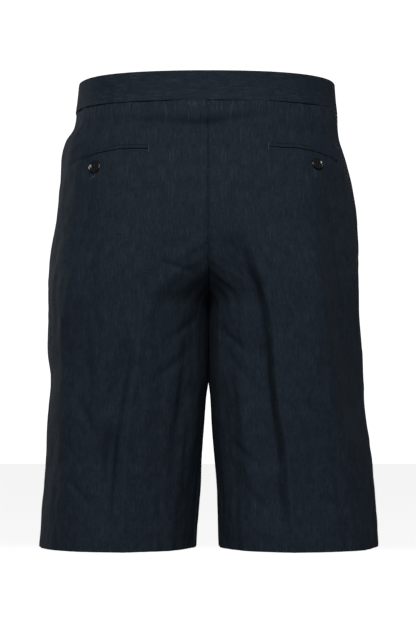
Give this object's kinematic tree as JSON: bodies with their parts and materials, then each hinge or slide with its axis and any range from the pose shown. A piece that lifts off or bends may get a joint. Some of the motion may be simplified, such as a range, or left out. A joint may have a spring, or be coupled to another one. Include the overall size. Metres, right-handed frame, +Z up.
{
  "type": "bermuda shorts",
  "caption": "Knee-length linen shorts in worn, hollow form: a plain waistband, straight pressed legs with turned-up hems, and jetted back pockets closed by buttons.",
  "frame": {"origin": "middle of the waist opening, halfway up the waistband, where the wearer holds the shorts up", "axes": "+Z up; the back of the shorts, which the picture shows, faces -Y and the front +Y; +X is the wearer's right"},
  "size_m": [0.393, 0.2398, 0.5412],
  "materials": {
    "linen": "navy linen in plain weave with slubs, slight sheen",
    "button": "dark horn, polished rim and dished middle"
  },
  "bodies": {
    "root": {"back_panel_left": "linen", "back_panel_right": "linen", "front_panel_left": "linen", "front_panel_right": "linen", "waistband": "linen", "pocket_lip_upper_left": "linen", "pocket_lip_lower_left": "linen", "pocket_lip_upper_right": "linen", "pocket_lip_lower_right": "linen", "pocket_button_left": "button", "pocket_button_right": "button", "waist_button": "button"}
  },
  "joints": []
}
